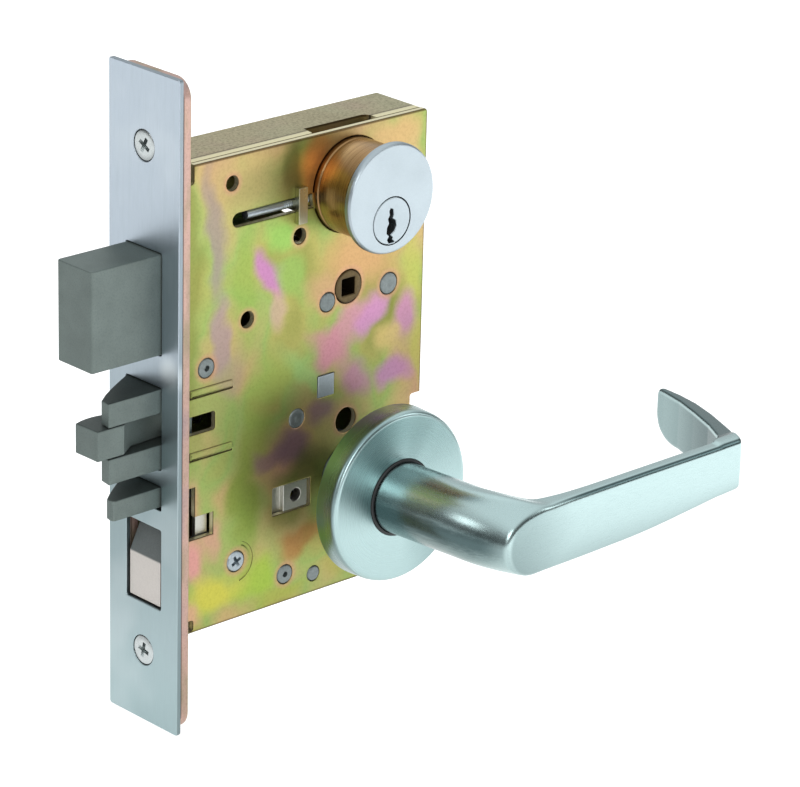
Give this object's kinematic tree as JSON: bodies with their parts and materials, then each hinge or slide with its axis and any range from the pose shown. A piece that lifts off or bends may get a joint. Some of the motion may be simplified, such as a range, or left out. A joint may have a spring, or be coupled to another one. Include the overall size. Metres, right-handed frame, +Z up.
{
  "type": "mortise lock",
  "caption": "Door mortise lock: slim rectangular case and front, sliding deadbolt, split latchbolt, auxiliary latch, key cylinder, and a lever on a round rose.",
  "frame": {"origin": "on the armor front's outer face, on its middle line, level with the lever's axis", "axes": "+X into the door, +Z up along the front, -Y towards the outside, where the lever is"},
  "size_m": [0.2074, 0.1009, 0.2032],
  "materials": {
    "armor": "satin chrome plate over steel, brushed along its length",
    "steel_dark": "sintered steel, dull grey",
    "zinc_yellow": "yellow zinc dichromate, iridescent",
    "zinc_pink": "yellow zinc dichromate, pinkish",
    "zinc_clear": "clear zinc plate",
    "screw_steel": "plated steel screw",
    "brass": "turned brass",
    "satin_chrome": "satin chrome plate",
    "trim_chrome": "satin chrome plate, brushed",
    "black_nylon": "black nylon",
    "spring_steel": "music wire",
    "rocker_grey": "grey moulded plastic"
  },
  "bodies": {
    "lock_case": {"case": "zinc_yellow", "case_wall": "zinc_yellow", "cover": "zinc_yellow", "inner_front": "zinc_pink", "armor_front": "armor", "armor_screws": "screw_steel", "case_posts": "zinc_clear", "cover_screw": "zinc_clear", "clamp_screw": "zinc_clear", "clamp_bar": "screw_steel", "square_nut": "zinc_clear", "deadbolt_guide": "zinc_clear", "stem_guide": "zinc_clear", "aux_guide": "zinc_clear", "deadlock_post": "zinc_clear", "rocker_bracket": "zinc_yellow", "rocker_pin": "screw_steel", "latch_spring": "spring_steel", "aux_spring": "spring_steel", "cylinder_body": "brass", "driver_pins": "brass", "pin_springs": "spring_steel", "rose": "trim_chrome", "rose_plate": "zinc_clear", "rose_bushing": "black_nylon", "return_spring": "spring_steel"},
    "deadbolt": {"deadbolt": "steel_dark", "deadbolt_tail": "steel_dark", "tail_rivets": "screw_steel", "cam_lug": "screw_steel"},
    "thumb_hub": {"thumb_hub": "steel_dark"},
    "latchbolt": {"latchbolt": "steel_dark", "latch_stem": "steel_dark", "stem_crossbar": "steel_dark", "tongue_pin": "screw_steel"},
    "latch_tongue": {"latch_tongue": "steel_dark"},
    "aux_latch": {"aux_latch": "steel_dark", "aux_stem": "steel_dark"},
    "deadlock_lever": {"deadlock_lever": "steel_dark"},
    "plug": {"plug": "satin_chrome", "key_pins": "brass", "cam": "zinc_clear", "cam_screws": "screw_steel"},
    "outside_lever": {"lever": "trim_chrome", "outer_hub": "steel_dark", "spindle": "zinc_clear", "retaining_ring": "spring_steel", "lever_screw": "spring_steel"},
    "inner_hub": {"inner_hub": "steel_dark"},
    "rocker": {"rocker": "rocker_grey"},
    "stop_slide": {"stop_slide": "zinc_clear"}
  },
  "joints": [
    {"name": "deadbolt_slide", "type": "slide", "parent": "lock_case", "child": "deadbolt", "axis": [1, 0, 0], "range_m": [0, 0.0254]},
    {"name": "thumb_hub_turn", "type": "hinge", "parent": "lock_case", "child": "thumb_hub", "pos_m": [0.06985, 0, 0.06], "axis": [0, 1, 0], "range_deg": [0, 90]},
    {"name": "lever_turn", "type": "hinge", "parent": "lock_case", "child": "outside_lever", "pos_m": [0.06985, 0, 0], "axis": [0, 1, 0], "range_deg": [0, 55], "stiffness_Nm_per_rad": 1.2, "springref_deg": -34.38},
    {"name": "inner_hub_turn", "type": "hinge", "parent": "lock_case", "child": "inner_hub", "pos_m": [0.06985, 0, 0], "axis": [0, 1, 0], "range_deg": [0, 55]},
    {"name": "latchbolt_slide", "type": "slide", "parent": "lock_case", "child": "latchbolt", "axis": [1, 0, 0], "range_m": [0, 0.0233], "deforming": ["latch_spring"]},
    {"name": "tongue_pivot", "type": "hinge", "parent": "latchbolt", "child": "latch_tongue", "pos_m": [0.003, 0, 0.0305], "axis": [0, 0, -1], "range_deg": [0, 6]},
    {"name": "aux_latch_slide", "type": "slide", "parent": "lock_case", "child": "aux_latch", "axis": [1, 0, 0], "range_m": [0, 0.0165], "stiffness_N_per_m": 120, "springref_m": -0.02, "deforming": ["aux_spring"]},
    {"name": "deadlock_lever_turn", "type": "hinge", "parent": "lock_case", "child": "deadlock_lever", "pos_m": [0.04, 0, 0.0142], "axis": [0, 1, 0], "range_deg": [0, 4], "stiffness_Nm_per_rad": 0.0002, "springref_deg": 32.37},
    {"name": "plug_turn", "type": "hinge", "parent": "lock_case", "child": "plug", "pos_m": [0.06985, 0, 0.0854], "axis": [0, 1, 0], "continuous": true},
    {"name": "rocker_tilt", "type": "hinge", "parent": "lock_case", "child": "rocker", "pos_m": [0.00959, 0, -0.01435], "axis": [0, -1, 0], "range_deg": [0, 25]},
    {"name": "stop_slide_lift", "type": "slide", "parent": "lock_case", "child": "stop_slide", "axis": [0, 0, 1], "range_m": [0, 0.00304]}
  ],
  "couplings": [
    {"joint": "thumb_hub_turn", "follows": "deadbolt_slide", "rad_per_m": 61.842},
    {"joint": "inner_hub_turn", "follows": "lever_turn", "ratio": 1},
    {"joint": "latchbolt_slide", "follows": "lever_turn", "m_per_rad": 0.024273},
    {"joint": "deadlock_lever_turn", "follows": "aux_latch_slide", "rad_per_m": 4.2311},
    {"joint": "stop_slide_lift", "follows": "rocker_tilt", "m_per_rad": 0.0069446}
  ]
}
